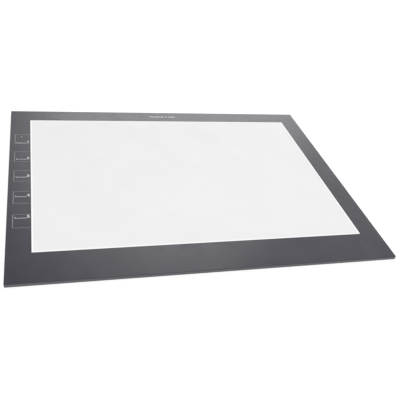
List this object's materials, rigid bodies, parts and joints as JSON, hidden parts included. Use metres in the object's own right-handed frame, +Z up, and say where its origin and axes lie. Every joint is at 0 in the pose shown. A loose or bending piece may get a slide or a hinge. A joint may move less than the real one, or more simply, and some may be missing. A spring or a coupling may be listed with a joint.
{
  "type": "light box",
  "caption": "Thin flat light box for tracing: a dark frame with a wide hand rest around an edge-lit opal drawing panel, touch keys in the left border and a USB power socket at the back.",
  "frame": {"origin": "on the surface the light box lies on, under the middle of its outline; the feet stand on z = 0", "axes": "+X to the right along the long side, +Y away from the person drawing, towards the narrow border and the power socket, +Z up out of the drawing panel"},
  "size_m": [0.476, 0.372, 0.0058],
  "materials": {
    "frame_plastic": "satin-gloss dark grey moulded plastic",
    "panel_opal": "matt opal acrylic, lit from behind",
    "cover_plastic": "fine spark texture",
    "screw_steel": "black zinc plated",
    "foot_rubber": "matt",
    "tape_clear": "transfer adhesive",
    "diffuser_white": "matt film",
    "guide_acrylic": "polished acrylic with a fine dot pattern",
    "reflector_white": "white polyester film",
    "silver_tape": "bright metallised film",
    "led_package": "white package with yellow phosphor",
    "strip_board": "white solder mask on aluminium-backed board",
    "strip_tape": "grey heat-conducting tape",
    "circuit_board": "green solder mask",
    "copper": "bare copper",
    "chip_black": "moulded epoxy",
    "component_ceramic": "fired ceramic with tinned ends",
    "indicator_clear": "clear lens",
    "shell_steel": "nickel plated sheet",
    "tongue_plastic": "moulded nylon",
    "contact_gold": "gold plated",
    "ferrite": "sintered ferrite",
    "connector_ivory": "moulded nylon",
    "cable_white": "flat laminated cable"
  },
  "bodies": {
    "root": {"front_frame": "frame_plastic", "rear_cover": "cover_plastic", "rear_cover_screws": "screw_steel", "rubber_feet": "foot_rubber", "drawing_panel": "panel_opal", "panel_tape": "tape_clear", "diffuser_film": "diffuser_white", "light_guide_plate": "guide_acrylic", "reflector_film": "reflector_white", "side_reflector_tapes": "silver_tape", "leds_front": "led_package", "leds_back": "led_package", "led_strip_front": "strip_board", "led_strip_back": "strip_board", "led_strip_tapes": "strip_tape", "touch_board": "circuit_board", "touch_electrodes": "copper", "touch_controller": "chip_black", "touch_board_passives": "component_ceramic", "indicator_led": "led_package", "indicator_lens": "indicator_clear", "power_board": "circuit_board", "usb_shell": "shell_steel", "usb_tongue": "tongue_plastic", "usb_contacts": "contact_gold", "driver_chip": "chip_black", "driver_inductor": "ferrite", "driver_diode": "chip_black", "power_board_passives": "component_ceramic", "cable_connectors": "connector_ivory", "board_link_cable": "cable_white", "front_strip_cable": "cable_white", "back_strip_cable": "cable_white"}
  },
  "joints": []
}
